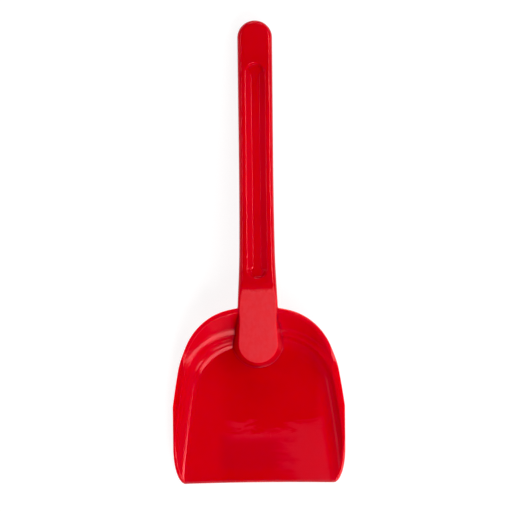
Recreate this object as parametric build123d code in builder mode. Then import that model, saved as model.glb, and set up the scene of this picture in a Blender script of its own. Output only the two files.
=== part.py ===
from build123d import *
from math import atan2, cos, degrees, radians, sin, tan
import os

# A toy sand scoop made of two plastic mouldings: the pan, and the handle that drops into a notch in the
# pan's rear wall and is held by two staked studs. Millimetres, +Z up, +Y towards the handle's tip, +X right.
# The origin is on the ground, under the middle of the scoop's box.

# ---- Whole scoop ----
length = 250.0  # from the pan's front edge to the handle's tip
pan_width = 93.0  # over the side walls at their widest
pan_length = 95.0  # from the front edge to the rear rim
plate = 1.5  # thickness of the pan's floor and walls
shell = 2.3  # thickness of the handle's hollow ends

front_y, tip_y = -length / 2, length / 2
rear_y = front_y + pan_length
lid_z, low_z = 45.0, -5.0  # above and below everything, where the cutting volumes end
overlap = 1.0  # how far volumes that are joined reach into each other
nearly_level = 0.9  # least upward or downward share of a face's normal for it to count as top or underside

# ---- Pan ----
# The floor's edge is a chain of tangent arcs, from the middle of the rear round to the front.
floor_rear_y = rear_y - 23.3
floor_radii = (81.0, 22.5, 468.5)  # rear, shoulder and side
floor_headings = (9.2, 79.8, 89.0)  # degrees turned where each arc ends

# The wall, from the floor outwards, is a cove, a steep stretch, a narrow shoulder and the upper wall.
wall_tilts = (0.0, 60.0, 18.0, 58.0)  # degrees from level: floor, steep stretch, shoulder, upper wall
cove_radius, edge_radius, root_radius = 9.6, 2.6, 3.0
wall_reaches = (9.7, 12.9, 25.5)  # distances from the floor where each tilted stretch ends

# The rim seen from the side, and the pan's front seen from above.
rim_rear, rim_knee = (rear_y + 6.0, 27.8), (-59.6, 8.6)
lip_dip = 0.2  # how far the rim's line goes under the floor's top at the front
rim_front, rim_lip = (front_y + 24.0, 8.2), (front_y - overlap, plate - lip_dip)
rim_blends = (40.0, 30.0)
corner_width, corner_length = 6.5, 19.0  # half-axes of the elliptical front corners
front_hollow = 0.7  # how far the front edge curves in

# ---- Handle ----
# Seen from the side, the grip falls from the crest to the ground, and the tongue falls to the pan's floor.
crest_y, crest_z = -18.5, 29.5
crest_blend = 12.0
tongue_slope = 21.0  # degrees
grip_depth = 12.5
top_edge_radius, back_edge_radius = 1.2, 3.0
foot_y = tip_y - back_edge_radius  # where the grip's underside comes to the ground
grip_slope = degrees(atan2(crest_z - grip_depth, foot_y - crest_y))

# Seen from above, the grip narrows to a waist and flares into the saddle over the pan's rim.
knob_radius = 9.4
waist_width, neck_width, saddle_width = 18.6, 19.2, 21.6
saddle_y = rear_y + 2.0
notch_y = rear_y - 3.8  # front of the stretch that keeps the grip's own underside
tongue_half_width = 8.6  # at the height of the crest
tongue_draft = 10.0  # degrees, widening downwards
tongue_centre_y = -48.5  # centre of the tongue's round end
block_front_y, block_back_y = tongue_centre_y - 2 * knob_radius, tip_y + knob_radius

# The channel in the grip's top, and the hollows under the knob and the neck.
channel_back_y, channel_front_y = 102.5, -14.7
channel_width, channel_depth, channel_draft = 11.2, 1.9, 62.0
knob_hollow_length, knob_hollow_width = 15.0, 13.6
neck_hollow_y = channel_front_y - 3.3

# The studs that hold the tongue to the pan's floor, staked into countersinks.
stud_y, stud_spacing = -54.5, 8.0
stud_radius, stake_radius, stake_height = 1.8, 2.8, 0.9
stake_recess = 0.2  # height of the staked ends above the ground
stud_play = 0.15  # clearance round each stud


def floor_line():
    """The edge of the pan's floor as one wire, from the right front round the rear to the left front."""
    centre = Vector(0, floor_rear_y - floor_radii[0])
    heading = 0.0
    with BuildLine() as line:
        for number, (radius, end_heading) in enumerate(zip(floor_radii, floor_headings)):
            if number:
                reach = floor_radii[number - 1] - radius
                centre += Vector(sin(radians(heading)), cos(radians(heading))) * reach
            CenterArc(centre, radius, 90 - end_heading, end_heading - heading)
            heading = end_heading
        mirror(about=Plane.YZ)
    return line.wire()


def wall_line(shift):
    """Corners and radii of the wall's section, moved outwards through the plate by shift."""
    corner = Vector(cove_radius * tan(radians(wall_tilts[1] / 2)), plate)
    corners = []
    for number, reach in enumerate(wall_reaches):
        before, after = wall_tilts[number], wall_tilts[number + 1]
        middle, half_turn = radians((before + after) / 2), radians((after - before) / 2)
        corners.append(corner + Vector(sin(middle), -cos(middle)) * (shift / cos(half_turn)))
        run = reach - corner.X
        corner += Vector(run, run * tan(radians(after)))
    last = radians(wall_tilts[-1])
    corners.append(corner + Vector(sin(last), -cos(last)) * shift)
    return corners, (cove_radius + shift, edge_radius - shift, root_radius + shift)


def bowl(shift):
    """The volume inside the pan's inner surface, or inside its outer surface when shift is the plate."""
    path = floor_line()
    bottom = plate - shift
    corners, radii = wall_line(shift)
    section = Plane(origin=path @ 0, x_dir=(path % 0).rotate(Axis.Z, -90), z_dir=-(path % 0))
    with BuildPart() as volume:
        with BuildSketch(section):
            with BuildLine():
                wall = FilletPolyline((-overlap, bottom), *corners, radius=radii)
                Polyline(wall @ 1, ((wall @ 1).X, lid_z), (-overlap, lid_z), wall @ 0)
            make_face()
        sweep(path=path)
        with BuildSketch(Plane.XY.offset(bottom)):
            with BuildLine():
                add(path)
                Line(path @ 0, path @ 1)
            make_face()
        extrude(amount=lid_z - bottom)
    return volume.part


def pan_blank():
    """The pan before the notch and the holes: its bowl, trimmed to the rim from the side and from above."""
    half = pan_width / 2
    with BuildPart() as blank:
        add(bowl(plate))
        add(bowl(0), mode=Mode.SUBTRACT)
        with BuildSketch(Plane.YZ):
            with BuildLine():
                rim = FilletPolyline(rim_rear, rim_knee, rim_front, rim_lip, radius=rim_blends)
                Polyline(rim @ 1, (rim_lip[0], low_z), (rim_rear[0], low_z), rim @ 0)
            make_face()
        extrude(amount=pan_width, both=True, mode=Mode.INTERSECT)
        with BuildSketch():
            with BuildLine():
                corner_centre = (half - corner_width, front_y + corner_length)
                corner = EllipticalCenterArc(corner_centre, corner_width, corner_length, 270, arc_size=90)
                Polyline(corner @ 1, (half, rear_y + overlap), (0, rear_y + overlap))
                mirror(about=Plane.YZ)
                ThreePointArc(corner @ 0, (0, front_y + front_hollow), (corner_width - half, front_y))
            make_face()
        extrude(amount=lid_z, mode=Mode.INTERSECT)
    return blank.part


def grip_top(y):
    """Height of the grip's top line."""
    return crest_z - (y - crest_y) * tan(radians(grip_slope))


def tongue_top(y):
    """Height of the tongue's top line."""
    return crest_z - (crest_y - y) * tan(radians(tongue_slope))


def roofed_block(inset, drop, back_y):
    """The drafted stadium within the tongue's flanks, moved in by inset, under the roof lowered by drop."""
    half = tongue_half_width - inset
    with BuildPart() as block:
        with BuildSketch(Plane.XY.offset(crest_z)):
            with BuildLine():
                round_end = CenterArc((0, tongue_centre_y), half, 180, 180)
                Polyline(round_end @ 1, (half, back_y), (-half, back_y), round_end @ 0)
            make_face()
        extrude(amount=low_z - crest_z, taper=-tongue_draft)
        with BuildSketch(Plane.YZ):
            with BuildLine():
                roof = FilletPolyline(
                    (block_front_y, tongue_top(block_front_y) - drop),
                    (crest_y, crest_z - drop),
                    (block_back_y, grip_top(block_back_y) - drop),
                    radius=crest_blend,
                )
                Polyline(roof @ 1, (block_back_y, low_z), (block_front_y, low_z), roof @ 0)
            make_face()
        extrude(amount=pan_width, both=True, mode=Mode.INTERSECT)
    return block.part


def silhouette():
    """The grip's outline from above, opened wide where the tongue's drafted flanks take over."""
    wide = 2 * knob_radius
    flare = (saddle_width - neck_width, 2 * saddle_y)
    with BuildPart() as slab:
        with BuildSketch(Plane.XY.offset(low_z)):
            with BuildLine():
                knob = CenterArc((0, tip_y - knob_radius), knob_radius, 0, 90)
                waist, neck = (waist_width / 2, foot_y / 2), (neck_width / 2, 0)
                side = Spline(knob @ 0, waist, neck, (saddle_width / 2, saddle_y), tangents=((0, -1), flare))
                Polyline(side @ 1, (wide, saddle_y), (wide, block_front_y), (0, block_front_y))
                mirror(about=Plane.YZ)
            make_face()
        extrude(amount=lid_z - low_z)
    return slab.part


def grip_space():
    """Everything above the grip's underside, from the notch to behind the knob."""
    with BuildPart() as space:
        with BuildSketch(Plane.YZ):
            with BuildLine():
                front = (notch_y, grip_top(notch_y) - grip_depth)
                back = (block_back_y, grip_top(block_back_y) - grip_depth)
                Polyline((notch_y, lid_z), front, back, (block_back_y, lid_z), close=True)
            make_face()
        extrude(amount=pan_width, both=True)
    return space.part


def handle_blank():
    """The handle's outside: the grip, and the tongue down to the pan's inner surface."""
    with BuildPart() as full:
        add(roofed_block(0, 0, block_back_y))
        add(silhouette(), mode=Mode.INTERSECT)
        top = full.faces().filter_by(lambda face: face.normal_at().Z > nearly_level)
        outer_edges = [edge for edge in top.edges() if sum(edge in face.edges() for face in top) == 1]
        fillet(outer_edges, top_edge_radius)
    with BuildPart() as tongue:
        add(full)
        add(bowl(0), mode=Mode.INTERSECT)
    with BuildPart() as blank:
        add(full)
        add(grip_space(), mode=Mode.INTERSECT)
        low_faces = blank.faces().filter_by(lambda face: face.normal_at().Z < -nearly_level)
        underside = low_faces.sort_by(SortBy.AREA)[-1]
        side_edges = underside.edges().filter_by(lambda edge: edge.center().Y > notch_y + overlap)
        fillet(side_edges, back_edge_radius)
        add(tongue)
    return blank.part


def studs(play):
    """The two studs with their staked ends, made larger by play."""
    stand = (Align.CENTER, Align.CENTER, Align.MIN)
    stud_height = tongue_top(stud_y) - shell / 2 - stake_recess
    with BuildPart() as pair:
        with Locations((0, stud_y, stake_recess)):
            with GridLocations(stud_spacing, 0, 2, 1):
                Cylinder(stud_radius + play, stud_height, align=stand)
                Cone(stake_radius + play, stud_radius + play, stake_height, align=stand)
    return pair.part


blank_handle = handle_blank()

with BuildPart() as handle:
    add(blank_handle)
    channel_y = (channel_back_y + channel_front_y) / 2
    grip_normal = (0, sin(radians(grip_slope)), cos(radians(grip_slope)))
    with BuildSketch(Plane((0, channel_y, grip_top(channel_y)), x_dir=(1, 0, 0), z_dir=grip_normal)):
        SlotOverall(channel_back_y - channel_front_y, channel_width, rotation=90)
    extrude(amount=-channel_depth, taper=channel_draft, mode=Mode.SUBTRACT)
    with BuildSketch(Plane.XY.offset(low_z)):
        with Locations((0, tip_y - shell - knob_hollow_length / 2)):
            SlotOverall(knob_hollow_length, knob_hollow_width, rotation=90)
    extrude(amount=grip_top(tip_y) - shell - low_z, mode=Mode.SUBTRACT)
    add(roofed_block(shell, shell, neck_hollow_y), mode=Mode.SUBTRACT)
    add(studs(0))

with BuildPart() as scoop_pan:
    add(pan_blank())
    add(blank_handle, mode=Mode.SUBTRACT)
    add(studs(stud_play), mode=Mode.SUBTRACT)
    with Locations((0, stud_y, stake_recess)):
        with GridLocations(stud_spacing, 0, 2, 1):
            hang = (Align.CENTER, Align.CENTER, Align.MAX)
            Cylinder(stake_radius + stud_play, plate, align=hang, mode=Mode.SUBTRACT)

os.makedirs("parts", exist_ok=True)
scoop_pan.part.label = "scoop_pan"
handle.part.label = "handle"
export_step(scoop_pan.part, "parts/scoop_pan.step")
export_step(handle.part, "parts/handle.step")
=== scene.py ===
import math

import bmesh
import bpy
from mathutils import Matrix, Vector


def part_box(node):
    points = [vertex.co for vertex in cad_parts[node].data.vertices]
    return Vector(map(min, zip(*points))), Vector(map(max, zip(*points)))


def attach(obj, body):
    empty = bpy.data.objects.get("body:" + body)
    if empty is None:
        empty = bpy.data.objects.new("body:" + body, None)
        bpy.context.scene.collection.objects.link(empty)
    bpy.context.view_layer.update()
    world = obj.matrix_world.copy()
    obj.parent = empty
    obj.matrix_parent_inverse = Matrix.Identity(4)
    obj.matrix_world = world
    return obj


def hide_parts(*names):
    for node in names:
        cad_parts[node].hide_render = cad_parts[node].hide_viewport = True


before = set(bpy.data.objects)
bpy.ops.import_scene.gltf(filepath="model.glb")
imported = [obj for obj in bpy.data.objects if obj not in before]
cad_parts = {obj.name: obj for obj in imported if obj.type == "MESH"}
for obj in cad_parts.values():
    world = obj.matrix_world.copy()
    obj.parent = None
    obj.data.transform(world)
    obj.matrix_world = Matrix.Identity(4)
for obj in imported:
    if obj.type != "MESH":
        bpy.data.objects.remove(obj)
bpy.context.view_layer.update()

# Meshes are worked out in millimetres in the CAD frame and scaled down when they are made.
MM = 0.001
MM_PER_METRE = 1000.0
pan_low, pan_high = (corner * MM_PER_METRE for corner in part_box("scoop_pan"))
handle_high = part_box("handle")[1] * MM_PER_METRE

# ---- Sizes of the pan ----
FRONT_Y = pan_low.y
HALF_WIDTH = pan_high.x
REAR_Y = FRONT_Y + 95.0
PLATE = 1.5
# The floor's edge is a chain of tangent arcs: rear, shoulder and side.
FLOOR_REAR_Y = REAR_Y - 23.3
FLOOR_RADII = (81.0, 22.5, 468.5)
FLOOR_HEADINGS = (9.2, 79.8, 89.2)  # degrees turned where each arc ends
# The wall, from the floor outwards, is a cove, a steep stretch, a narrow shoulder and the upper wall.
WALL_TILTS = (0.0, 60.0, 18.0, 58.0)  # degrees from level
WALL_REACHES = (9.7, 12.9, 30.0)  # distances from the floor where each tilted stretch ends
COVE_RADIUS, EDGE_RADIUS, ROOT_RADIUS = 9.6, 2.6, 3.0
# The rim seen from the side, and the pan's front seen from above.
LIP_DIP = 0.2
RIM_REAR, RIM_KNEE = (REAR_Y + 6.0, 27.8), (-59.6, 8.6)
RIM_FRONT, RIM_LIP = (FRONT_Y + 24.0, 8.2), (FRONT_Y - 1.0, PLATE - LIP_DIP)
KNEE_BLEND, FRONT_BLEND = 40.0, 30.0
CORNER_WIDTH, CORNER_LENGTH = 6.5, 19.0  # half-axes of the elliptical front corners
INNER_CORNER = (33.0, FRONT_Y + 2.5)  # point on the floor from which the front corner's sections run out
FRONT_HOLLOW = 0.45  # how far the front edge curves in
# The rim's rounding.
REAR_ROUND, SIDE_ROUND = 1.1, 0.7  # of its inner edge
REAR_ROUND_Y, SIDE_ROUND_Y = -60.0, -75.0  # where those two radii are reached
OUTER_ROUND, LIP_ROUND = 0.35, 0.7  # of its outer edge, and of the front lip
OUTER_ROUND_Y, LIP_ROUND_Y = FRONT_Y + 20.0, FRONT_Y + 3.0
SET_BACK = 0.15  # how far rounding may draw a sharp outer edge in

# ---- Sizes of the handle ----
TIP_Y = handle_high.y
SHELL = 2.3
CREST_Y, CREST_Z = -18.5, 29.5
CREST_BLEND = 12.0
TONGUE_SLOPE = math.tan(math.radians(21.0))
GRIP_DEPTH = 12.5
BACK_ROUND = 3.0
GRIP_ANGLE = math.atan2(CREST_Z - GRIP_DEPTH, TIP_Y - BACK_ROUND - CREST_Y)
GRIP_SLOPE = math.tan(GRIP_ANGLE)
# Seen from above, the grip narrows to a waist and flares into the saddle over the pan's rim.
KNOB_RADIUS = 9.4
KNOB_CENTRE_Y = TIP_Y - KNOB_RADIUS
WAIST_WIDTH, NECK_WIDTH, SADDLE_WIDTH = 18.6, 19.2, 21.6
WAIST_Y, NECK_Y, SADDLE_Y = (TIP_Y - BACK_ROUND) / 2, 0.0, REAR_Y + 2.0
WAIST_SLOPE, NECK_SLOPE = 0.002, -0.016  # of the half-width
SADDLE_SPREAD = 0.09  # how fast the saddle widens into the pan's rim
NOTCH_Y, NOTCH_HALF = REAR_Y - 3.8, 0.05  # where the tongue's foot turns into the grip's back
WIDE = 2 * KNOB_RADIUS  # wider than the drafted flanks, where those alone bound the handle
TONGUE_HALF = 8.6  # at the height of the crest
DRAFT = math.radians(10.0)
TONGUE_CENTRE_Y = -48.5
TONGUE_END_Y = NOTCH_Y - 4.0  # where the tongue starts to turn into the neck
# Rounding of the top's edges. It grows from the tongue's to the neck's, and over the crest to the grip's.
TONGUE_ROUND, NECK_ROUND, SHOULDER_ROUND = 0.75, 1.6, 2.8
NECK_ROUND_Y, CREST_ROUND_Y, SHOULDER_ROUND_Y = SADDLE_Y + 2.0, CREST_Y - 6.0, CREST_Y + 3.0
SADDLE_BACK_ROUND, BACK_ROUND_Y = 0.6, CREST_Y + 8.0  # of the underside's edges, which grows up to there
FLARE = 1.3  # how far the flanks stand out behind the saddle
FOOT_ROUND = 1.0
# The channel in the grip's top. Its wall is steeper at the two round ends.
CHANNEL_BACK_Y, CHANNEL_FRONT_Y = 102.5, -14.7
CHANNEL_WIDTH, CHANNEL_DEPTH = 11.2, 1.9
CHANNEL_DRAFT, CHANNEL_END_DRAFT = math.radians(62.0), math.radians(25.0)
CHANNEL_LIP, CHANNEL_END_LIP = 2.4, 0.5
CHANNEL_COVE, CHANNEL_END_COVE = 1.6, 0.9
CHANNEL_MIDDLE_Y = (CHANNEL_BACK_Y + CHANNEL_FRONT_Y) / 2
CHANNEL_HALF_RUN = (CHANNEL_BACK_Y - CHANNEL_FRONT_Y) / 2 - CHANNEL_WIDTH / 2
# Hollows and studs.
KNOB_HOLLOW_LENGTH, KNOB_HOLLOW_WIDTH = 15.0, 13.6
NECK_HOLLOW_GAP = 3.3  # from the channel's front end to the neck's hollow
STUD_Y, STUD_SPACING, STUD_RADIUS, STUD_PLAY = -54.5, 8.0, 1.8, 0.15
STAKE_RADIUS, STAKE_HEIGHT, STAKE_RECESS = 2.8, 0.9, 0.2

# ---- How finely things are made ----
HAIR = 0.02  # how far a surface is sunk into its neighbour
BELOW = -5.0  # a height under everything
FAR_IN, FAR_OUT = 1000.0, 60.0  # lengths that no section reaches inwards or outwards
CLOSE = 0.001  # lengths under this count as nothing
LEAST_CORNER = 0.1  # radians, for the angle between the rim and the outer surface
FIRST_GUESS = 9.0  # half-width where the search for a handle section's edge starts
SLOPE_STEP = 0.01
ROOF_SPARE = 20.0  # how far the top line runs past the handle's ends
MERGE = 1e-7  # metres under which vertices are one
SHARP = math.radians(38)  # edges that turn more than this are drawn sharp
HALVINGS = 40  # when looking for a crossing
INNER_DIGITS, OUTER_DIGITS = 2, 3  # decimals of the rim's radii, so that sections share profiles
HALF_TURN_STEPS = 24
SETTLE_STEPS = 6
PROFILE_STEPS, ROOF_STEPS = 24, 48
FLOOR_STEPS, CORNER_STEPS, FRONT_STEPS = (14, 44, 56), 48, 24
INNER_STEPS, OUTER_STEPS, RIM_STEPS = 84, 40, 5
FINE_STEPS, TURN_WEIGHT = 240, 5.0  # for spacing a section's points by length and by turning
FAN_STEPS = 36
TONGUE_STEPS, NOTCH_STEPS, NECK_STEPS, CHANNEL_STEPS, KNOB_STEPS = 26, 1, 40, 90, 16
EDGE_STEPS, SIDE_STEPS, LIP_STEPS, LAND_STEPS = 8, 12, 7, 30


# ---- Plane geometry ----
def filleted(points, radii, steps):
    """A polyline with each inner corner replaced by an arc."""
    line = [Vector(points[0])]
    for before, corner, after, radius in zip(points, points[1:], points[2:], radii):
        corner = Vector(corner)
        back = (Vector(before) - corner).normalized()
        ahead = (Vector(after) - corner).normalized()
        turn = math.pi - back.angle(ahead)
        centre = corner + (back + ahead).normalized() * (radius / math.cos(turn / 2))
        arm = corner + back * (radius * math.tan(turn / 2)) - centre
        spin = -math.copysign(turn, back.x * ahead.y - back.y * ahead.x)
        line += [centre + rotated(arm, spin * step / steps) for step in range(steps + 1)]
    line.append(Vector(points[-1]))
    return line


def rotated(arm, angle):
    """A plane vector turned by an angle."""
    sine, cosine = math.sin(angle), math.cos(angle)
    return Vector((arm.x * cosine - arm.y * sine, arm.x * sine + arm.y * cosine))


def along(line, x):
    """Height of a polyline at x. The polyline's x values rise, and its ends carry on straight."""
    low, high = 0, len(line) - 1
    while high - low > 1:
        middle = (low + high) // 2
        if line[middle].x <= x:
            low = middle
        else:
            high = middle
    a, b = line[low], line[high]
    return a.y + (b.y - a.y) * (x - a.x) / (b.x - a.x)


def slope(height, reach):
    """Slope of a height function at a reach."""
    return (height(reach + SLOPE_STEP) - height(reach - SLOPE_STEP)) / (2 * SLOPE_STEP)


def crossing(test, low, high):
    """Where test turns from true to false between low and high."""
    for _ in range(HALVINGS):
        middle = (low + high) / 2
        if test(middle):
            low = middle
        else:
            high = middle
    return low


def eased(y, low, high, start, stop):
    """A value going smoothly from start at low to stop at high."""
    share = min(max((y - low) / (high - low), 0.0), 1.0)
    return start + (stop - start) * share * share * (3 - 2 * share)


def hermite(a, b, slope_a, slope_b, share):
    """A cubic between two values with given slopes times the span."""
    square, cube = share * share, share * share * share
    start = (2 * cube - 3 * square + 1) * a + (cube - 2 * square + share) * slope_a
    return start + (3 * square - 2 * cube) * b + (cube - square) * slope_b


# ---- Meshes ----
def finished(name, shape):
    """An object from a bmesh, smooth except at its sharp edges."""
    for face in shape.faces:
        face.smooth = True
    mesh = bpy.data.meshes.new(name)
    shape.to_mesh(mesh)
    shape.free()
    mesh.set_sharp_from_angle(angle=SHARP)
    thing = bpy.data.objects.new(name, mesh)
    bpy.context.scene.collection.objects.link(thing)
    return thing


def ring_mesh(name, rings):
    """A closed mesh from rings of points, with flat faces over the first and the last."""
    shape = bmesh.new()
    made = [[shape.verts.new(point * MM) for point in ring] for ring in rings]
    for ring, following in zip(made, made[1:]):
        for place in range(len(ring)):
            after = (place + 1) % len(ring)
            shape.faces.new((ring[place], ring[after], following[after], following[place]))
    shape.faces.new(list(reversed(made[0])))
    shape.faces.new(made[-1])
    bmesh.ops.remove_doubles(shape, verts=shape.verts, dist=MERGE)
    bmesh.ops.dissolve_degenerate(shape, edges=shape.edges, dist=MERGE)
    bmesh.ops.recalc_face_normals(shape, faces=shape.faces)
    return finished(name, shape)


def mirrored(halves):
    """Stations' sections on the right half joined with their mirror images, in one round."""
    flip = [[Vector((-point.x, point.y, point.z)) for point in section] for section in halves]
    return halves + list(reversed(flip[1:-1]))


def combined(piece, other, operation):
    """Joins a piece with another closed mesh, or cuts it, and removes the other."""
    step = piece.modifiers.new("step", "BOOLEAN")
    step.operation = operation
    step.solver = "EXACT"
    step.object = other
    graph = bpy.context.evaluated_depsgraph_get()
    mesh = bpy.data.meshes.new_from_object(piece.evaluated_get(graph))
    piece.modifiers.clear()
    old = piece.data
    piece.data = mesh
    bpy.data.meshes.remove(old)
    bpy.data.objects.remove(other)
    mesh.name = piece.name
    mesh.set_sharp_from_angle(angle=SHARP)


# ---- The pan's surfaces ----
def floor_arcs():
    """Centre, radius, first and last heading of each arc of the floor's edge, on the right half."""
    centre = Vector((0.0, FLOOR_REAR_Y - FLOOR_RADII[0]))
    heading = 0.0
    arcs = []
    for number, (radius, last) in enumerate(zip(FLOOR_RADII, FLOOR_HEADINGS)):
        if number:
            reach = FLOOR_RADII[number - 1] - radius
            centre = centre + Vector((math.sin(heading), math.cos(heading))) * reach
        arcs.append((centre, radius, heading, math.radians(last)))
        heading = math.radians(last)
    return arcs


FLOOR_ARCS = floor_arcs()


def from_floor(x, y):
    """Distance outwards from the floor's edge, below zero on the floor."""
    x = abs(x)
    for centre, radius, _, last in FLOOR_ARCS:
        heading = math.atan2(x - centre.x, y - centre.y)
        if -math.pi / 2 < heading <= last:
            break
    return math.hypot(x - centre.x, y - centre.y) - radius


def wall_profile(shift):
    """The wall's section as (distance from the floor, height), moved out through the plate by shift."""
    tilts = [math.radians(tilt) for tilt in WALL_TILTS]
    corner = Vector((COVE_RADIUS * math.tan(tilts[1] / 2), PLATE))
    points = [(-FAR_IN, PLATE - shift)]
    for before, after, reach in zip(tilts, tilts[1:], WALL_REACHES):
        middle = (before + after) / 2
        far = shift / math.cos((after - before) / 2)
        points.append((corner.x + far * math.sin(middle), corner.y - far * math.cos(middle)))
        run = reach - corner.x
        corner = corner + Vector((run, run * math.tan(after)))
    last = tilts[-1]
    points.append((corner.x + shift * math.sin(last), corner.y - shift * math.cos(last)))
    radii = (COVE_RADIUS + shift, EDGE_RADIUS - shift, ROOT_RADIUS + shift)
    return filleted(points, radii, PROFILE_STEPS)


PROFILES = {}


def wall_height(shift, x, y):
    """Height of the pan's inner surface moved outwards by shift. Each shift's profile is kept."""
    if shift not in PROFILES:
        PROFILES[shift] = wall_profile(shift)
    return along(PROFILES[shift], from_floor(x, y))


RIM_LINE = filleted((RIM_LIP, RIM_FRONT, RIM_KNEE, RIM_REAR), (FRONT_BLEND, KNEE_BLEND), PROFILE_STEPS)


def front_line(x):
    """Y of the pan's front edge, which curves in at the middle."""
    half = HALF_WIDTH - CORNER_WIDTH
    return FRONT_Y + FRONT_HOLLOW * (1 - (x / half) ** 2)


def in_outline(x, y):
    """True inside the pan's outline as cut from above: its sides, front corners and front."""
    x = abs(x)
    if x > HALF_WIDTH:
        return False
    corner_x, corner_y = HALF_WIDTH - CORNER_WIDTH, FRONT_Y + CORNER_LENGTH
    if x > corner_x and y < corner_y:
        return ((x - corner_x) / CORNER_WIDTH) ** 2 + ((y - corner_y) / CORNER_LENGTH) ** 2 <= 1
    return y >= front_line(x)


# ---- The pan's sections ----
class PanSection:
    """A section of the pan's wall, from a base point on the floor outwards."""

    def __init__(self, base, way):
        self.base = base
        self.way = way
        self.edge = crossing(lambda reach: in_outline(*self.place(reach)), 0.0, FAR_OUT)

    def place(self, reach):
        """The section's point at a reach, seen from above."""
        return self.base + self.way * reach

    def surface(self, shift, reach):
        """Height of the inner surface moved outwards by shift."""
        return wall_height(shift, *self.place(reach))

    def tilt(self, shift, reach):
        """Angle of that surface along the section."""
        return math.atan(slope(lambda spot: self.surface(shift, spot), reach))

    def rim(self, reach):
        """Height of the rim's line."""
        return along(RIM_LINE, self.place(reach).y)

    def rim_tilt(self, reach):
        """Angle of the rim's line along the section."""
        return math.atan(slope(self.rim, reach))

    def inset_rim(self, reach, rounding):
        """Height of the rim's line moved in by rounding."""
        rise = slope(self.rim, reach)
        return self.rim(reach) - rounding * math.sqrt(1 + rise * rise)

    def meets_rim(self, shift, rounding, far):
        """Reach where the shifted surface comes to the inset rim, or far if it stays below."""

        def below(reach):
            return self.surface(shift, reach) < self.inset_rim(reach, rounding)

        return crossing(below, 0.0, far)

    def outer_rounding(self):
        """Radius of the rim's outer edge: small where the edge is sharp, so that it keeps its place."""
        sharp = self.meets_rim(PLATE, 0.0, self.edge)
        between = self.tilt(PLATE, sharp) - self.rim_tilt(sharp)
        rounding = SET_BACK / (1 / math.sin(max(between, LEAST_CORNER) / 2) - 1)
        cut_face = self.rim(self.edge) - self.surface(PLATE, self.edge)
        limit = eased(self.base.y, LIP_ROUND_Y, OUTER_ROUND_Y, LIP_ROUND, OUTER_ROUND)
        return round(min(limit, max(rounding, cut_face / 2)), OUTER_DIGITS)

    def rim_arcs(self, inner_round):
        """Reach, height, radius, start and stop angle of the rim's inner arc, outer arc and lower arc."""
        outer_round = self.outer_rounding()
        inner_far, outer_far = self.edge - inner_round, self.edge - outer_round
        first = self.meets_rim(inner_round, inner_round, inner_far)
        inner_tilt = self.tilt(inner_round, first)
        rim_tilt = self.rim_tilt(first) if first < inner_far - CLOSE else inner_tilt
        low_shift = PLATE - outer_round
        second = self.meets_rim(low_shift, outer_round, outer_far)
        top = min(self.inset_rim(second, outer_round), self.surface(outer_round, second))
        low = min(self.surface(low_shift, second), top)
        up = math.pi / 2
        return (
            (first, self.surface(inner_round, first), inner_round, up + inner_tilt, up + rim_tilt),
            (second, top, outer_round, up + rim_tilt, 0.0),
            (second, low, outer_round, 0.0, self.tilt(low_shift, second) - up),
        )

    def points(self, inner_round):
        """The section's points: inner surface, rounded rim, outer surface."""
        end_path = []
        for reach, height, rounding, start, stop in self.rim_arcs(inner_round):
            for step in range(RIM_STEPS + 1):
                angle = start + (stop - start) * step / RIM_STEPS
                end_path.append((reach + rounding * math.cos(angle), height + rounding * math.sin(angle)))
        inner_path = spread(lambda reach: self.surface(0.0, reach), end_path[0][0], INNER_STEPS)
        outer_path = spread(lambda reach: self.surface(PLATE, reach), end_path[-1][0], OUTER_STEPS)
        path = inner_path[:-1] + end_path + list(reversed(outer_path[:-1]))
        return [Vector((*self.place(reach), height)) for reach, height in path]


def spread(height, end, steps):
    """Points of a section from 0 to end, closer together where it turns."""
    reaches = [end * step / FINE_STEPS for step in range(FINE_STEPS + 1)]
    heights = [height(reach) for reach in reaches]
    headings = [
        math.atan2(high - low, b - a)
        for a, b, low, high in zip(reaches, reaches[1:], heights, heights[1:])
    ]
    measure = [0.0]
    for number, heading in enumerate(headings):
        turned = abs(heading - headings[max(number - 1, 0)])
        length = math.hypot(reaches[number + 1] - reaches[number], heights[number + 1] - heights[number])
        measure.append(measure[-1] + length + TURN_WEIGHT * turned)
    path = []
    place = 0
    for step in range(steps + 1):
        wanted = measure[-1] * step / steps
        while place < FINE_STEPS - 1 and measure[place + 1] < wanted:
            place += 1
        share = (wanted - measure[place]) / (measure[place + 1] - measure[place])
        reach = reaches[place] + (reaches[place + 1] - reaches[place]) * min(share, 1.0)
        path.append((reach, height(reach)))
    return path


def side_stations(corner_y):
    """Base point and outward direction of the sections from the middle of the rear round to corner_y."""
    stations = []
    for number, (centre, radius, first, last) in enumerate(FLOOR_ARCS):
        steps = FLOOR_STEPS[number]
        if number == len(FLOOR_ARCS) - 1:
            last = math.acos((corner_y - centre.y) / radius)
        for step in range(1 if number else 0, steps + 1):
            heading = first + (last - first) * step / steps
            way = Vector((math.sin(heading), math.cos(heading)))
            stations.append((centre + way * radius, way))
    return stations


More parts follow.
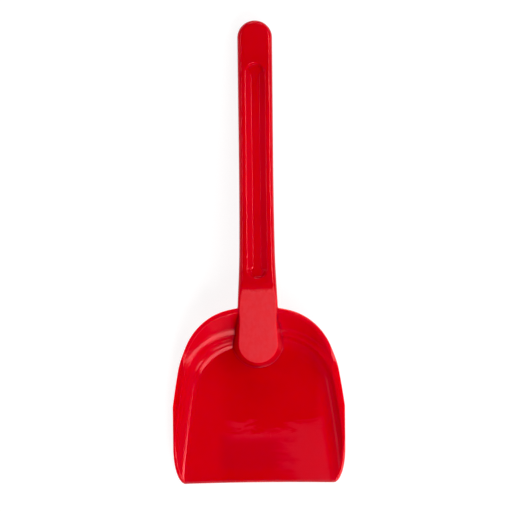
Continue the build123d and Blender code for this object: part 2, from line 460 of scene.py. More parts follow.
def pan_stations():
    """Base point and outward direction of each section, from the middle of the rear round to the front."""
    corner_x, corner_y = HALF_WIDTH - CORNER_WIDTH, FRONT_Y + CORNER_LENGTH
    inner_x, inner_y = INNER_CORNER
    stations = side_stations(corner_y)
    base_x = stations[-1][0].x
    spans = []
    for step in range(1, CORNER_STEPS + 1):
        angle = math.pi / 2 * step / CORNER_STEPS
        across, ahead = math.cos(angle), math.sin(angle)
        base = (inner_x + (base_x - inner_x) * across, corner_y - (corner_y - inner_y) * ahead)
        spans.append((base, (corner_x + CORNER_WIDTH * across, corner_y - CORNER_LENGTH * ahead)))
    for step in range(1, FRONT_STEPS + 1):
        share = 1 - step / FRONT_STEPS
        spans.append(((inner_x * share, inner_y), (corner_x * share, front_line(corner_x * share))))
    for base, edge in spans:
        stations.append((Vector(base), (Vector(edge) - Vector(base)).normalized()))
    return stations


def pan_mesh():
    """The pan as one closed mesh: rings of points from the floor's top, over the rim, to its underside."""
    sections = []
    for base, way in pan_stations():
        inner_round = eased(base.y, SIDE_ROUND_Y, REAR_ROUND_Y, SIDE_ROUND, REAR_ROUND)
        sections.append(PanSection(base, way).points(round(inner_round, INNER_DIGITS)))
    return ring_mesh("pan_body", [list(ring) for ring in zip(*mirrored(sections))])


# ---- The handle's surfaces ----
def grip_top(y):
    """Height of the grip's top line."""
    return CREST_Z - (y - CREST_Y) * GRIP_SLOPE


def tongue_top(y):
    """Height of the tongue's top line."""
    return CREST_Z + (y - CREST_Y) * TONGUE_SLOPE


ROOF_FRONT_Y, ROOF_BACK_Y = TONGUE_CENTRE_Y - ROOF_SPARE, TIP_Y + ROOF_SPARE
ROOF_LINE = filleted(
    ((ROOF_FRONT_Y, tongue_top(ROOF_FRONT_Y)), (CREST_Y, CREST_Z), (ROOF_BACK_Y, grip_top(ROOF_BACK_Y))),
    (CREST_BLEND,), ROOF_STEPS)


def roof(y):
    """Height of the handle's top line, blended over the crest."""
    return along(ROOF_LINE, y)


def underside(y):
    """Height of the grip's underside."""
    return grip_top(y) - GRIP_DEPTH


def tongue_half(z):
    """Half-width of the drafted flanks at height z."""
    return TONGUE_HALF + (CREST_Z - z) * math.tan(DRAFT)


def side_half(y):
    """Half-width of the grip's outline seen from above."""
    if y < NOTCH_Y:
        return WIDE
    if y < SADDLE_Y:
        return SADDLE_WIDTH / 2 + SADDLE_SPREAD * (SADDLE_Y - y) ** 2
    stops = (
        (SADDLE_Y, SADDLE_WIDTH / 2, (SADDLE_WIDTH - NECK_WIDTH) / (2 * SADDLE_Y)),
        (NECK_Y, NECK_WIDTH / 2, NECK_SLOPE),
        (WAIST_Y, WAIST_WIDTH / 2, WAIST_SLOPE),
        (KNOB_CENTRE_Y, KNOB_RADIUS, 0.0),
    )
    for (y0, w0, m0), (y1, w1, m1) in zip(stops, stops[1:]):
        if y <= y1:
            return hermite(w0, w1, m0 * (y1 - y0), m1 * (y1 - y0), (y - y0) / (y1 - y0))
    return KNOB_RADIUS


def shoulder_round(y):
    """Radius of the top's edge."""
    if y < CREST_ROUND_Y:
        return eased(y, TONGUE_END_Y, NECK_ROUND_Y, TONGUE_ROUND, NECK_ROUND)
    return eased(y, CREST_ROUND_Y, SHOULDER_ROUND_Y, NECK_ROUND, SHOULDER_ROUND)


# ---- The handle's sections ----
def handle_stations():
    """Middle point and direction of each section, from the tongue's end along the right to the knob's."""
    right = Vector((1.0, 0.0))
    stations = []
    for step in range(FAN_STEPS + 1):
        angle = math.pi / 2 * (1 - step / FAN_STEPS)
        stations.append((Vector((0.0, TONGUE_CENTRE_Y)), Vector((math.cos(angle), -math.sin(angle)))))
    y = TONGUE_CENTRE_Y
    lengths = (
        (NOTCH_Y - NOTCH_HALF, TONGUE_STEPS),
        (NOTCH_Y + NOTCH_HALF, NOTCH_STEPS),
        (CHANNEL_FRONT_Y + CHANNEL_WIDTH / 2, NECK_STEPS),
        (CHANNEL_BACK_Y - CHANNEL_WIDTH / 2, CHANNEL_STEPS),
        (KNOB_CENTRE_Y, KNOB_STEPS),
    )
    for stop, steps in lengths:
        stations += [(Vector((0.0, y + (stop - y) * step / steps)), right) for step in range(1, steps + 1)]
        y = stop
    for step in range(1, FAN_STEPS + 1):
        angle = math.pi / 2 * step / FAN_STEPS
        stations.append((Vector((0.0, KNOB_CENTRE_Y)), Vector((math.cos(angle), math.sin(angle)))))
    return stations


class HandleSection:
    """A section of the handle's outside, from a point on its middle line outwards."""

    def __init__(self, base, way):
        self.base = base
        self.way = way
        self.flare = eased(base.y, TONGUE_END_Y, SADDLE_Y, 0.0, FLARE)
        self.limit = side_half(base.y)

    def top(self, reach):
        """Height of the top."""
        return roof(self.base.y + self.way.y * reach)

    def side(self, z):
        """Reach of the side at height z."""
        return min(self.limit, tongue_half(z) + self.flare)

    def ground(self, reach):
        """Height of the pan's inner surface."""
        spot = self.base + self.way * reach
        return wall_height(0.0, spot.x, spot.y)

    def shoulder(self):
        """The rounded edge between the top and the side."""
        rounding = shoulder_round(self.base.y)
        rough = self.side(self.top(FIRST_GUESS))
        rise = slope(self.top, rough)
        drafted = tongue_half(self.top(rough)) + self.flare < rough + CLOSE
        lean = DRAFT if drafted else 0.0
        inset = rounding * math.sqrt(1 + rise * rise)
        reach = rough
        for _ in range(2 * SETTLE_STEPS):
            reach = self.side(self.top(reach) - inset) - rounding / math.cos(lean)
        z = self.top(reach) - inset
        start = math.pi / 2 + math.atan(rise)
        angles = [start + (lean - start) * step / EDGE_STEPS for step in range(EDGE_STEPS + 1)]
        return [(reach + rounding * math.cos(angle), z + rounding * math.sin(angle)) for angle in angles]

    def straight_side(self, high, low):
        """The side from one height down to another, without its first point."""
        heights = [high + (low - high) * step / SIDE_STEPS for step in range(1, SIDE_STEPS + 1)]
        return [(self.side(height), height) for height in heights]

    def foot(self, high):
        """The side down to the fillet that meets the pan, sunk into the pan by a hair."""
        foot_z = crossing(lambda height: height > self.ground(self.side(height)) - HAIR, high, BELOW)
        centre_z = foot_z + FOOT_ROUND
        centre = self.side(centre_z) + FOOT_ROUND
        points = self.straight_side(high, centre_z)
        for step in range(1, EDGE_STEPS + 1):
            angle = math.pi + (math.pi / 2 - DRAFT) * step / EDGE_STEPS
            reach = centre + FOOT_ROUND * math.cos(angle)
            sunk = self.ground(reach) - HAIR
            height = sunk if step == EDGE_STEPS else max(centre_z + FOOT_ROUND * math.sin(angle), sunk)
            points.append((reach, height))
        return points

    def back(self, high):
        """The side down to the rounded edge of the grip's underside."""
        rounding = eased(self.base.y, NOTCH_Y, BACK_ROUND_Y, SADDLE_BACK_ROUND, BACK_ROUND)
        centre_z = underside(self.base.y + self.way.y * (self.side(0.0) - rounding)) + rounding
        wide = self.side(centre_z)
        points = self.straight_side(high, centre_z)
        for step in range(1, EDGE_STEPS + 1):
            angle = -math.pi / 2 * step / EDGE_STEPS
            reach = wide - rounding + rounding * math.cos(angle)
            low = underside(self.base.y + self.way.y * reach) + rounding
            points.append((reach, low + rounding * math.sin(angle)))
        return points

    def points(self):
        """The section's points, from the inside of the top's edge down to the underside or the pan."""
        path = self.shoulder()
        lower = self.foot if self.base.y < NOTCH_Y else self.back
        path += lower(path[-1][1])
        return [Vector((*(self.base + self.way * reach), height)) for reach, height in path]


def on_grip(x, run, height):
    """A point from its place on the grip's top plane and its height along the plane's normal."""
    return Vector((
        x,
        CHANNEL_MIDDLE_Y + run * math.cos(GRIP_ANGLE) + height * math.sin(GRIP_ANGLE),
        grip_top(CHANNEL_MIDDLE_Y) - run * math.sin(GRIP_ANGLE) + height * math.cos(GRIP_ANGLE),
    ))


def channel_section(middle_run, way):
    """Points of one section of the channel, from its floor up to the land."""

    def turning(side_value, end_value):
        return side_value + (end_value - side_value) * abs(way.y)

    half = CHANNEL_WIDTH / 2
    draft = turning(CHANNEL_DRAFT, CHANNEL_END_DRAFT)
    lip = turning(CHANNEL_LIP, CHANNEL_END_LIP)
    cove = turning(CHANNEL_COVE, CHANNEL_END_COVE)
    wall = math.pi / 2 - draft
    lip_reach = half + lip * math.tan(wall / 2)
    cove_reach = half - CHANNEL_DEPTH * math.tan(draft) - cove * math.tan(wall / 2)
    points = [(cove_reach / 2, -CHANNEL_DEPTH)]
    for step in range(LIP_STEPS + 1):
        angle = -math.pi / 2 + wall * step / LIP_STEPS
        points.append((cove_reach + cove * math.cos(angle), -CHANNEL_DEPTH + cove * (1 + math.sin(angle))))
    for step in range(LIP_STEPS + 1):
        angle = math.pi / 2 + wall * (1 - step / LIP_STEPS)
        points.append((lip_reach + lip * math.cos(angle), lip * (math.sin(angle) - 1)))
    return [on_grip(way.x * reach, middle_run + way.y * reach, height) for reach, height in points]


def channel_stations():
    """Run and direction of each channel section, one for each of the handle's own sections."""
    front_steps = FAN_STEPS + TONGUE_STEPS + NOTCH_STEPS + NECK_STEPS
    back_steps = KNOB_STEPS + FAN_STEPS
    stations = []
    for step in range(front_steps + 1):
        angle = math.pi / 2 * (1 - step / front_steps)
        stations.append((-CHANNEL_HALF_RUN, Vector((math.cos(angle), -math.sin(angle)))))
    for step in range(1, CHANNEL_STEPS + 1):
        run = -CHANNEL_HALF_RUN + 2 * CHANNEL_HALF_RUN * step / CHANNEL_STEPS
        stations.append((run, Vector((1.0, 0.0))))
    for step in range(1, back_steps + 1):
        angle = math.pi / 2 * step / back_steps
        stations.append((CHANNEL_HALF_RUN, Vector((math.cos(angle), math.sin(angle)))))
    return stations


def land(start, stop):
    """The grip's top between the channel's lip and the edge's rounding, without its end points."""
    spots = [start.lerp(stop, step / LAND_STEPS) for step in range(1, LAND_STEPS)]
    return [Vector((spot.x, spot.y, roof(spot.y))) for spot in spots]


def handle_mesh():
    """The handle as one closed mesh: channel, top, edges, sides and underside."""
    outer = [HandleSection(base, way).points() for base, way in handle_stations()]
    inner = [channel_section(run, way) for run, way in channel_stations()]
    sections = mirrored([
        channel + land(channel[-1], shell[0]) + shell for channel, shell in zip(inner, outer)
    ])
    shape = bmesh.new()
    made = [[shape.verts.new(point * MM) for point in section] for section in sections]
    for section, following in zip(made, made[1:] + made[:1]):
        for a, b, c, d in zip(section, section[1:], following[1:], following):
            shape.faces.new((a, b, c, d))
    shape.faces.new([section[0] for section in made])
    for place in range(len(outer) - 1):
        corners = (made[place][-1], made[place + 1][-1], made[-place - 1][-1], made[-place][-1])
        shape.faces.new(list(dict.fromkeys(corners)))
    bmesh.ops.remove_doubles(shape, verts=shape.verts, dist=MERGE)
    bmesh.ops.recalc_face_normals(shape, faces=shape.faces)
    return finished("handle_body", shape)


# ---- Hollows, notch and studs ----
def knob_hollow():
    """The slot-shaped hollow under the knob."""
    half = KNOB_HOLLOW_WIDTH / 2
    middle_y = TIP_Y - SHELL - KNOB_HOLLOW_LENGTH / 2
    shift = (KNOB_HOLLOW_LENGTH - KNOB_HOLLOW_WIDTH) / 2
    outline = []
    for turn, centre_y in ((0.0, middle_y + shift), (math.pi, middle_y - shift)):
        for step in range(HALF_TURN_STEPS + 1):
            angle = turn + math.pi * step / HALF_TURN_STEPS
            outline.append((half * math.cos(angle), centre_y + half * math.sin(angle)))
    heights = (BELOW, grip_top(TIP_Y) - SHELL)
    return ring_mesh("knob_hollow", [[Vector((x, y, z)) for x, y in outline] for z in heights])


def neck_hollow():
    """The hollow under the tongue and the neck, one shell inside the flanks and the tongue's face."""
    back_y = CHANNEL_FRONT_Y - NECK_HOLLOW_GAP
    centre = Vector((0.0, TONGUE_CENTRE_Y))
    turns = [math.pi * step / HALF_TURN_STEPS for step in range(1, HALF_TURN_STEPS)]
    ways = [Vector((-math.cos(turn), -math.sin(turn))) for turn in turns]
    ways = [Vector((-1.0, 0.0)), *ways, Vector((1.0, 0.0))]

    def ring(height):
        points = []
        for way in ways:
            z = height(TONGUE_CENTRE_Y)
            for _ in range(SETTLE_STEPS):
                spot = centre + way * (tongue_half(z) - SHELL)
                z = height(spot.y)
            points.append(Vector((spot.x, spot.y, z)))
        z = height(back_y)
        reach = tongue_half(z) - SHELL
        return points + [Vector((reach, back_y, z)), Vector((-reach, back_y, z))]

    return ring_mesh("neck_hollow", [ring(lambda y: BELOW), ring(lambda y: tongue_top(y) - SHELL)])


def turned(name, x, profile):
    """A solid turned about a stud's axis from (radius, height) points."""
    steps = 2 * HALF_TURN_STEPS
    turns = [math.tau * step / steps for step in range(steps)]
    rings = []
    for radius, height in profile:
        rings.append([
            Vector((x + radius * math.cos(turn), STUD_Y + radius * math.sin(turn), height))
            for turn in turns
        ])
    return ring_mesh(name, rings)


def stud_profile(play, low, high):
    """A stud with its staked end, made larger by play, from low to high."""
    stake, shank = STAKE_RADIUS + play, STUD_RADIUS + play
    shank_low = STAKE_RECESS + STAKE_HEIGHT
    return (stake, low), (stake, STAKE_RECESS), (shank, shank_low), (shank, high)


def notch_cutter(handle):
    """The part of the handle that crosses the pan's rear wall."""
    shape = bmesh.new()
    shape.from_mesh(handle.data)
    for y, facing in ((NOTCH_Y + HAIR, -1), (CREST_Y + SHELL, 1)):
        everything = shape.verts[:] + shape.edges[:] + shape.faces[:]
        cut = bmesh.ops.bisect_plane(
            shape, geom=everything, plane_co=(0, y * MM, 0), plane_no=(0, facing, 0), clear_outer=True)
        edges = [part for part in cut["geom_cut"] if isinstance(part, bmesh.types.BMEdge)]
        bmesh.ops.holes_fill(shape, edges=edges, sides=0)
    bmesh.ops.recalc_face_normals(shape, faces=shape.faces)
    return finished("notch_cutter", shape)


# ---- Materials ----
# Colours of the plastic, as linear red, green and blue.
RED = (0.61, 0.0, 0.009, 1)
DEEP_RED = (0.56, 0.0, 0.006, 1)
WORN_RED = (0.53, 0.0, 0.011, 1)
# Painted highlight: a paler red for the pan's front edge.
LIP_HIGHLIGHT_RED = (0.50, 0.05, 0.055, 1)
HANDLE_RED = (0.65, 0.002, 0.010, 1)
DEEP_HANDLE_RED = (0.59, 0.001, 0.008, 1)
# Painted shade: a darker red for the grip's steep sides.
SHADED_SIDE_RED = (0.38, 0.014, 0.028, 1)
SCUFFED_RED = (0.63, 0.014, 0.024, 1)
SHEEN, SHEEN_TINT = 0.5, (1.0, 0.25, 0.25, 1)
GLOSS, GRAIN_ROUGHNESS, SCUFF_ROUGHNESS, SCRATCH_ROUGHNESS = 0.12, 0.36, 0.12, 0.10
SCATTER_DEPTH, SCATTER_RATIOS = 0.0016, (1.0, 0.1, 0.1)  # how far each colour passes into the plastic
# Heights of the relief, in metres.
PAN_WAVE, HANDLE_WAVE, PEEL, GRAIN = 0.00010, 0.00003, 0.000003, 0.00004
# Noise patterns: cells to the metre, detail, how the cells are squeezed along x, y and z, and distortion.
EVEN, NOISE_MIDDLE = (1.0, 1.0, 1.0), 0.5
WAVE_NOISE = (28.0, 1.0, EVEN, 0.0)
PEEL_NOISE = (900.0, 2.0, EVEN, 0.0)
SCRATCH_NOISE = (260.0, 4.0, (1.0, 0.03, 1.0), 0.6)
PAN_TONE_NOISE = (16.0, 1.0, EVEN, 0.0)
HANDLE_TONE_NOISE = (22.0, 1.0, EVEN, 0.0)
SCUFF_EDGE_NOISE = (210.0, 6.0, (0.25, 1.0, 1.0), 1.2)
TONGUE_EDGE_NOISE = (420.0, 3.0, EVEN, 0.0)
MOTTLE_NOISE = (520.0, 4.0, (1.0, 0.5, 1.0), 0.0)
FLECK_NOISE = (700.0, 3.0, (1.0, 0.3, 1.0), 0.0)
GRAIN_NOISE = (2600.0, 3.0, EVEN, 0.0)
# Noise values that patches, mottling and scratches go between, and strengths they go between.
PATCH_VALUES, MOTTLE_VALUES, SCRATCH_VALUES = (0.35, 0.65), (0.36, 0.64), (0.66, 0.72)
PAN_TONES, MOTTLE_SHARES, FLECK_SHARES = (0.0, 0.5), (0.25, 0.75), (0.85, 1.15)
# Soft edges of painted light and shade, worn places, scuffs and grain: where each begins, and where it is
# full.
# Painted light: the pan is made lighter towards its left and right sides.
LEFT_PAINTED_LIGHT, RIGHT_PAINTED_LIGHT, RIGHT_PAINTED_LIGHT_SHARE = (-12.0, -26.0), (28.0, 36.0), 1.6
WORN_LEFT, WORN_RIGHT = (-23.5, -17.5), (25.5, 16.5)
WORN_REAR, WORN_FRONT, WORN_SHARE = (-97.5, -100.5), (-120.5, -115.0), 0.9
SCUFF_REAR, SCUFF_LEFT, SCUFF_RIGHT, SCUFF_SHARE = (-91.0, -96.0), (6.0, 20.0), (21.5, 17.5), 0.75
STREAK_REAR, STREAK_FRONT, STREAK_LEFT = (-92.0, -96.5), (-104.5, -98.5), (-22.0, -12.0)
# Painted highlight: the band along the pan's front edge.
LIP_HIGHLIGHT_EDGE = (FRONT_Y + FRONT_HOLLOW + 1.9, FRONT_Y + FRONT_HOLLOW + 0.2)
TONGUE_GRAIN = (CREST_Y + 0.5, CREST_Y - 4.5)
# Painted shade: where the grip's sides start to be darkened.
SHADED_GRIP_SIDES = (NOTCH_Y, SADDLE_Y + 8.0)
# How far the soft edges wander, in metres, and how much of that the streak and the right edge take.
SCUFF_WANDER, TONGUE_WANDER = 0.030, 0.006
STREAK_WANDER_SHARE, RIGHT_WANDER_SHARE = 1.3, 0.1
SCUFF_LEAN = 0.16  # how far the scuffs' right edge leans, in x to y
# Upward parts of the surface's normal: the tongue's face, and the grip's steep sides, which get painted
# shade.
FACE_UP, SHADED_SIDE_UP, SIDE_SHADE_SHARE = (0.86, 0.91), (0.45, 0.15), 0.7


class Tree:
    """Adds nodes to a material's tree and joins them up."""

    def __init__(self, name):
        self.material = bpy.data.materials.new(name)
        self.material.use_nodes = True
        self.tree = self.material.node_tree
        self.shader = self.tree.nodes["Principled BSDF"]
        self.where = self.add("ShaderNodeTexCoord").outputs["Object"]
        self.x, self.y, _ = self.add("ShaderNodeSeparateXYZ", self.where).outputs

    def add(self, kind, *values, **named):
        """A new node. Values go to its first inputs in order, and named ones to theirs."""
        node = self.tree.nodes.new(kind)
        for socket, value in zip(node.inputs, values):
            self.feed(socket, value)
        for name, value in named.items():
            self.feed(node.inputs[name.replace("_", " ")], value)
        return node

    def feed(self, socket, value):
        """Links a socket to an output, or sets it to a plain value."""
        if isinstance(value, bpy.types.NodeSocket):
            self.tree.links.new(value, socket)
        else:
            socket.default_value = value

    def math(self, operation, a, b):
        node = self.add("ShaderNodeMath", a, b)
        node.operation = operation
        return node.outputs[0]

    def plus(self, a, b):
        return self.math("ADD", a, b)

    def larger(self, a, b):
        return self.math("MAXIMUM", a, b)

    def times(self, product, *others):
        """The product of all the values."""
        for other in others:
            product = self.math("MULTIPLY", product, other)
        return product

    def ramp(self, value, limits, ends=(0.0, 1.0)):
        """A smooth change from one end to the other as value goes from one limit to the other."""
        (low, high), (start, stop) = limits, ends
        node = self.add(
            "ShaderNodeMapRange", value, From_Min=low, From_Max=high, To_Min=start, To_Max=stop)
        node.interpolation_type = "SMOOTHSTEP"
        return node.outputs[0]

    def fade(self, place, edge, share=1.0):
        """A smooth change from 0 to share over a soft edge given in millimetres."""
        return self.ramp(place, [limit * MM for limit in edge], (0.0, share))

    def noise(self, pattern):
        """A noise pattern's value at each point."""
        cells, detail, squeeze, distortion = pattern
        placed = self.add("ShaderNodeMapping", self.where, Scale=squeeze).outputs[0]
        node = self.add("ShaderNodeTexNoise", placed, Scale=cells, Detail=detail, Distortion=distortion)
        return node.outputs[0]

    def wander(self, pattern, width):
        """A pattern's value as a distance to either side."""
        return self.times(self.math("SUBTRACT", self.noise(pattern), NOISE_MIDDLE), width)

    def mix(self, share, a, b):
        """A colour going from a to b with share."""
        node = self.tree.nodes.new("ShaderNodeMix")
        node.data_type = "RGBA"
        node.clamp_factor = False
        share_place, a_place, b_place, colour_place = 0, 6, 7, 2
        for place, value in ((share_place, share), (a_place, a), (b_place, b)):
            self.feed(node.inputs[place], value)
        return node.outputs[colour_place]


def moulded(tree, base, roughness, wave_height, extra_height):
    """The finish both mouldings share: slight waviness, fine orange peel and a few hairline scratches."""
    wave = tree.times(tree.noise(WAVE_NOISE), wave_height)
    peel = tree.times(tree.noise(PEEL_NOISE), PEEL)
    height = tree.plus(tree.plus(wave, peel), extra_height)
    scratch = tree.ramp(tree.noise(SCRATCH_NOISE), SCRATCH_VALUES)
    settings = {
        "Base Color": base,
        "Roughness": tree.plus(roughness, tree.times(scratch, SCRATCH_ROUGHNESS)),
        "Specular IOR Level": SHEEN,
        "Specular Tint": SHEEN_TINT,
        "Subsurface Weight": 1.0,
        "Subsurface Radius": SCATTER_RATIOS,
        "Subsurface Scale": SCATTER_DEPTH,
        "Normal": tree.add("ShaderNodeBump", Height=height, Strength=1.0, Distance=1.0).outputs[0],
    }
    for name, value in settings.items():
        tree.feed(tree.shader.inputs[name], value)
    return tree.material


def scuffs(tree):
    """How scuffed the pan's floor is: a patch at the front right, and a streak reaching left from it."""
    x, y = tree.x, tree.y
    wander = tree.wander(SCUFF_EDGE_NOISE, SCUFF_WANDER)
    streak_y = tree.plus(y, tree.times(wander, STREAK_WANDER_SHARE))
    leaning = tree.plus(tree.plus(x, tree.times(y, SCUFF_LEAN)), tree.times(wander, RIGHT_WANDER_SHARE))
    patch = tree.times(
        tree.fade(tree.plus(y, wander), SCUFF_REAR),
        tree.fade(tree.plus(x, wander), SCUFF_LEFT))
    streak = tree.times(
        tree.fade(streak_y, STREAK_REAR),
        tree.fade(y, STREAK_FRONT),
        tree.fade(x, STREAK_LEFT))
    return tree.times(tree.larger(patch, streak), tree.fade(leaning, SCUFF_RIGHT))


def painted_lip_highlight(tree):
    """How much painted highlight a point gets, along the pan's curved front edge."""
    bow = FRONT_HOLLOW / (HALF_WIDTH - CORNER_WIDTH) ** 2 / MM
    unbowed = tree.plus(tree.y, tree.times(tree.x, tree.x, bow))
    return tree.fade(unbowed, LIP_HIGHLIGHT_EDGE)


def pan_plastic():
    """Glossy red plastic, worn and scuffed by sand towards the front of the floor, with painted light
    towards its left and right sides and a painted highlight along the front edge.
    """
    tree = Tree("pan_red")
    x, y = tree.x, tree.y
    tone = tree.ramp(tree.noise(PAN_TONE_NOISE), PATCH_VALUES, PAN_TONES)
    # Painted light: lighter towards the left and right sides.
    tone = tree.larger(tone, tree.fade(x, LEFT_PAINTED_LIGHT))
    tone = tree.larger(tone, tree.fade(x, RIGHT_PAINTED_LIGHT, RIGHT_PAINTED_LIGHT_SHARE))
    across = tree.times(tree.fade(x, WORN_LEFT), tree.fade(x, WORN_RIGHT))
    lengthways = tree.times(tree.fade(y, WORN_REAR), tree.fade(y, WORN_FRONT))
    scuffed = scuffs(tree)
    base = tree.mix(tone, DEEP_RED, RED)
    base = tree.mix(tree.times(across, lengthways, WORN_SHARE), base, WORN_RED)
    base = tree.mix(tree.times(scuffed, SCUFF_SHARE), base, SCUFFED_RED)
    # Painted highlight along the front edge.
    base = tree.mix(painted_lip_highlight(tree), base, LIP_HIGHLIGHT_RED)
    roughness = tree.plus(GLOSS, tree.times(scuffed, SCUFF_ROUGHNESS))
    return moulded(tree, base, roughness, PAN_WAVE, 0.0)


def handle_plastic():
    """Glossy red plastic, with a fine grain on the tongue's sloping face and painted shade darkening the
    grip's steep sides.
    """
    tree = Tree("handle_red")
    normal = tree.add("ShaderNodeNewGeometry").outputs["Normal"]
    up = tree.add("ShaderNodeSeparateXYZ", normal).outputs["Z"]
    tongue = tree.fade(tree.plus(tree.y, tree.wander(TONGUE_EDGE_NOISE, TONGUE_WANDER)), TONGUE_GRAIN)
    tongue = tree.times(tongue, tree.ramp(up, FACE_UP))
    # Painted shade: the grip's steep sides are darkened.
    sides = tree.times(tree.ramp(up, SHADED_SIDE_UP, (0.0, SIDE_SHADE_SHARE)), tree.fade(tree.y, SHADED_GRIP_SIDES))
    mottle = tree.ramp(tree.noise(MOTTLE_NOISE), MOTTLE_VALUES, MOTTLE_SHARES)
    fleck = tree.ramp(tree.noise(FLECK_NOISE), PATCH_VALUES, FLECK_SHARES)
    tone = tree.ramp(tree.noise(HANDLE_TONE_NOISE), PATCH_VALUES)
    base = tree.mix(tone, DEEP_HANDLE_RED, HANDLE_RED)
    base = tree.mix(tree.times(tongue, mottle), base, SCUFFED_RED)
    base = tree.mix(sides, base, SHADED_SIDE_RED)
    roughness = tree.plus(GLOSS, tree.times(tongue, GRAIN_ROUGHNESS - GLOSS))
    grain = tree.times(tree.noise(GRAIN_NOISE), tongue, GRAIN)
    return moulded(tree, base, tree.times(roughness, fleck), HANDLE_WAVE, grain)


# ---- Build ----
pan = pan_mesh()
grip = handle_mesh()
combined(pan, notch_cutter(grip), "DIFFERENCE")
combined(grip, knob_hollow(), "DIFFERENCE")
combined(grip, neck_hollow(), "DIFFERENCE")
for side in (-1, 1):
    stud_x = side * STUD_SPACING / 2
    hole = stud_profile(STUD_PLAY, BELOW, PLATE + SHELL)
    combined(pan, turned("stud_hole", stud_x, hole), "DIFFERENCE")
    stud = stud_profile(0.0, STAKE_RECESS - HAIR, tongue_top(STUD_Y) - SHELL / 2)
    combined(grip, turned("stud", stud_x, stud), "UNION")
finishes = (
    (pan, "scoop_pan", "pan_plastic", pan_plastic()),
    (grip, "handle", "handle_plastic", handle_plastic()),
)
for thing, node, slot, finish in finishes:
    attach(thing, "root")
    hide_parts(node)
    thing.data.materials.append(finish)

# ---- Floor, light and camera ----
FLOOR_HALF, FLOOR_DROP = 3.0, 0.0002  # metres
FLOOR_GREY, FLOOR_ROUGHNESS, FLOOR_SHEEN, FLOOR_GLOW = 0.2, 0.8, 0.1, 0.86
WHITE = (1, 1, 1, 1)
LIGHT_HEIGHT = 2.2  # metres, of the overhead lights
CARD_DISTANCE = 2.4  # metres, of the cards that light the scoop from low down
# Name, across, along, width and length in units of the light's height, turn in degrees, radiance, shape.
OVERHEADS = (
    ("main", 0.352, -0.78, 0.86, 0.6, 51.5, 7.8, "RECTANGLE"),
    ("right", 1.15, -0.135, 0.95, 0.13, 0.0, 14.0, "ELLIPSE"),
    ("right_rear", 0.85, 0.42, 0.4, 0.45, 0.0, 9.0, "RECTANGLE"),
    ("left_rear", -0.85, 0.42, 0.4, 0.45, 0.0, 3.0, "RECTANGLE"),
    ("rear", 0.0, 1.75, 1.2, 0.7, 0.0, 7.0, "RECTANGLE"),
)
# Name, azimuth from +X and tilt from straight up in degrees, width and height in metres, radiance.
CARDS = (
    ("low_card", -76, 71, 1.3, 0.55, 4.0),
    ("edge_card", -38, 66, 0.5, 0.5, 6.0),
    ("left_fill", 180, 74, 2.0, 0.7, 0.8),
)
CAMERA_DISTANCE, CAMERA_AIM = 3.0, (-0.0006, -0.0021, 0.015)  # metres
FRAME_WIDTH = 0.2757  # metres that the picture shows at the aim
CAMERA_ROLL = math.radians(-0.65)
SENSOR_WIDTH, VIEW_END = 36.0, 20.0
# Brightness overhead and towards the sides, and the upward part of the direction where each is reached.
ROOM_TOP, ROOM_SIDES, ROOM_TOP_UP, ROOM_SIDES_UP = 0.05, 0.3, 0.95, 0.5
BLACK_LEVEL = (0.0, 0.006, 0.003)


def floor():
    """A plain white floor that glows enough to hide most of the scoop's shadow."""
    shape = bmesh.new()
    corners = [
        shape.verts.new((x * FLOOR_HALF, y * FLOOR_HALF, -FLOOR_DROP))
        for x, y in ((-1, -1), (1, -1), (1, 1), (-1, 1))
    ]
    shape.faces.new(corners)
    plane = finished("floor", shape)
    material = bpy.data.materials.new("floor")
    material.use_nodes = True
    inputs = material.node_tree.nodes["Principled BSDF"].inputs
    inputs["Base Color"].default_value = (FLOOR_GREY, FLOOR_GREY, FLOOR_GREY, 1)
    inputs["Roughness"].default_value = FLOOR_ROUGHNESS
    inputs["Specular IOR Level"].default_value = FLOOR_SHEEN
    inputs["Emission Color"].default_value = WHITE
    inputs["Emission Strength"].default_value = FLOOR_GLOW
    plane.data.materials.append(material)


def lamp(name, shape, width, length, radiance):
    """An area light of a given radiance, facing down from the origin."""
    light = bpy.data.lights.new(name, "AREA")
    light.shape = shape
    light.size = width
    light.size_y = length
    area = width * length * (1.0 if shape == "RECTANGLE" else math.pi / 4)
    light.energy = radiance * math.pi * area
    thing = bpy.data.objects.new(name, light)
    bpy.context.scene.collection.objects.link(thing)
    return thing


def overhead(name, across, along_y, width, length, turn, radiance, shape):
    """A flat light facing down."""
    thing = lamp(name, shape, width * LIGHT_HEIGHT, length * LIGHT_HEIGHT, radiance)
    thing.location = (across * LIGHT_HEIGHT, along_y * LIGHT_HEIGHT, LIGHT_HEIGHT)
    thing.rotation_euler = (0, 0, math.radians(turn))


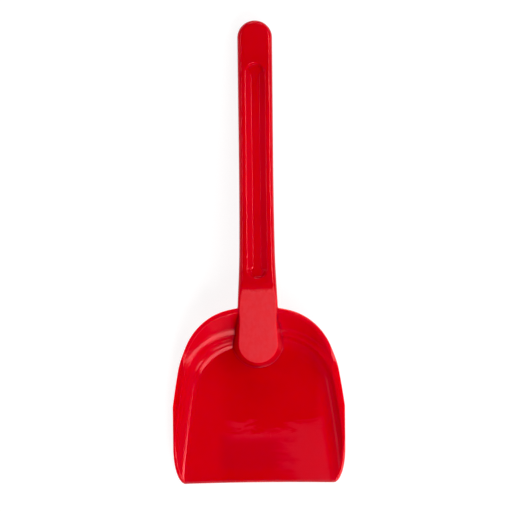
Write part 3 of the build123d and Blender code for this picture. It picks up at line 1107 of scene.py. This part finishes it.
def card(name, azimuth, tilt, width, height, radiance):
    """A light facing the scoop from the side."""
    a, t = math.radians(azimuth), math.radians(tilt)
    away = Vector((math.cos(a) * math.sin(t), math.sin(a) * math.sin(t), math.cos(t)))
    thing = lamp(name, "RECTANGLE", width, height, radiance)
    thing.location = away * CARD_DISTANCE
    thing.rotation_mode = "QUATERNION"
    thing.rotation_quaternion = away.to_track_quat("Z", "Y")


def camera():
    """A camera straight above the scoop."""
    data = bpy.data.cameras.new("camera")
    eye = bpy.data.objects.new("camera", data)
    data.sensor_width = SENSOR_WIDTH
    data.lens = SENSOR_WIDTH * CAMERA_DISTANCE / FRAME_WIDTH
    data.clip_end = VIEW_END
    eye.location = Vector(CAMERA_AIM) + Vector((0, 0, CAMERA_DISTANCE))
    eye.rotation_euler = (0, 0, CAMERA_ROLL)
    bpy.context.scene.collection.objects.link(eye)
    bpy.context.scene.camera = eye


def room():
    """A room that is dark straight overhead and brighter towards the sides."""
    world = bpy.data.worlds.new("room")
    bpy.context.scene.world = world
    world.use_nodes = True
    nodes, links = world.node_tree.nodes, world.node_tree.links
    where = nodes.new("ShaderNodeTexCoord")
    split = nodes.new("ShaderNodeSeparateXYZ")
    ramp = nodes.new("ShaderNodeMapRange")
    ramp.interpolation_type = "SMOOTHSTEP"
    ramp.inputs["From Min"].default_value = ROOM_TOP_UP
    ramp.inputs["From Max"].default_value = ROOM_SIDES_UP
    ramp.inputs["To Min"].default_value = ROOM_TOP
    ramp.inputs["To Max"].default_value = ROOM_SIDES
    links.new(where.outputs["Generated"], split.inputs[0])
    links.new(split.outputs["Z"], ramp.inputs["Value"])
    links.new(ramp.outputs["Result"], nodes["Background"].inputs["Strength"])
    nodes["Background"].inputs["Color"].default_value = WHITE


def view():
    """The plain view transform, with the darkest greens and blues taken out of the red."""
    settings = bpy.context.scene.view_settings
    settings.view_transform = "Standard"
    settings.use_curve_mapping = True
    settings.curve_mapping.black_level = BLACK_LEVEL
    settings.curve_mapping.update()


floor()
for row in OVERHEADS:
    overhead(*row)
for row in CARDS:
    card(*row)
camera()
room()
view()
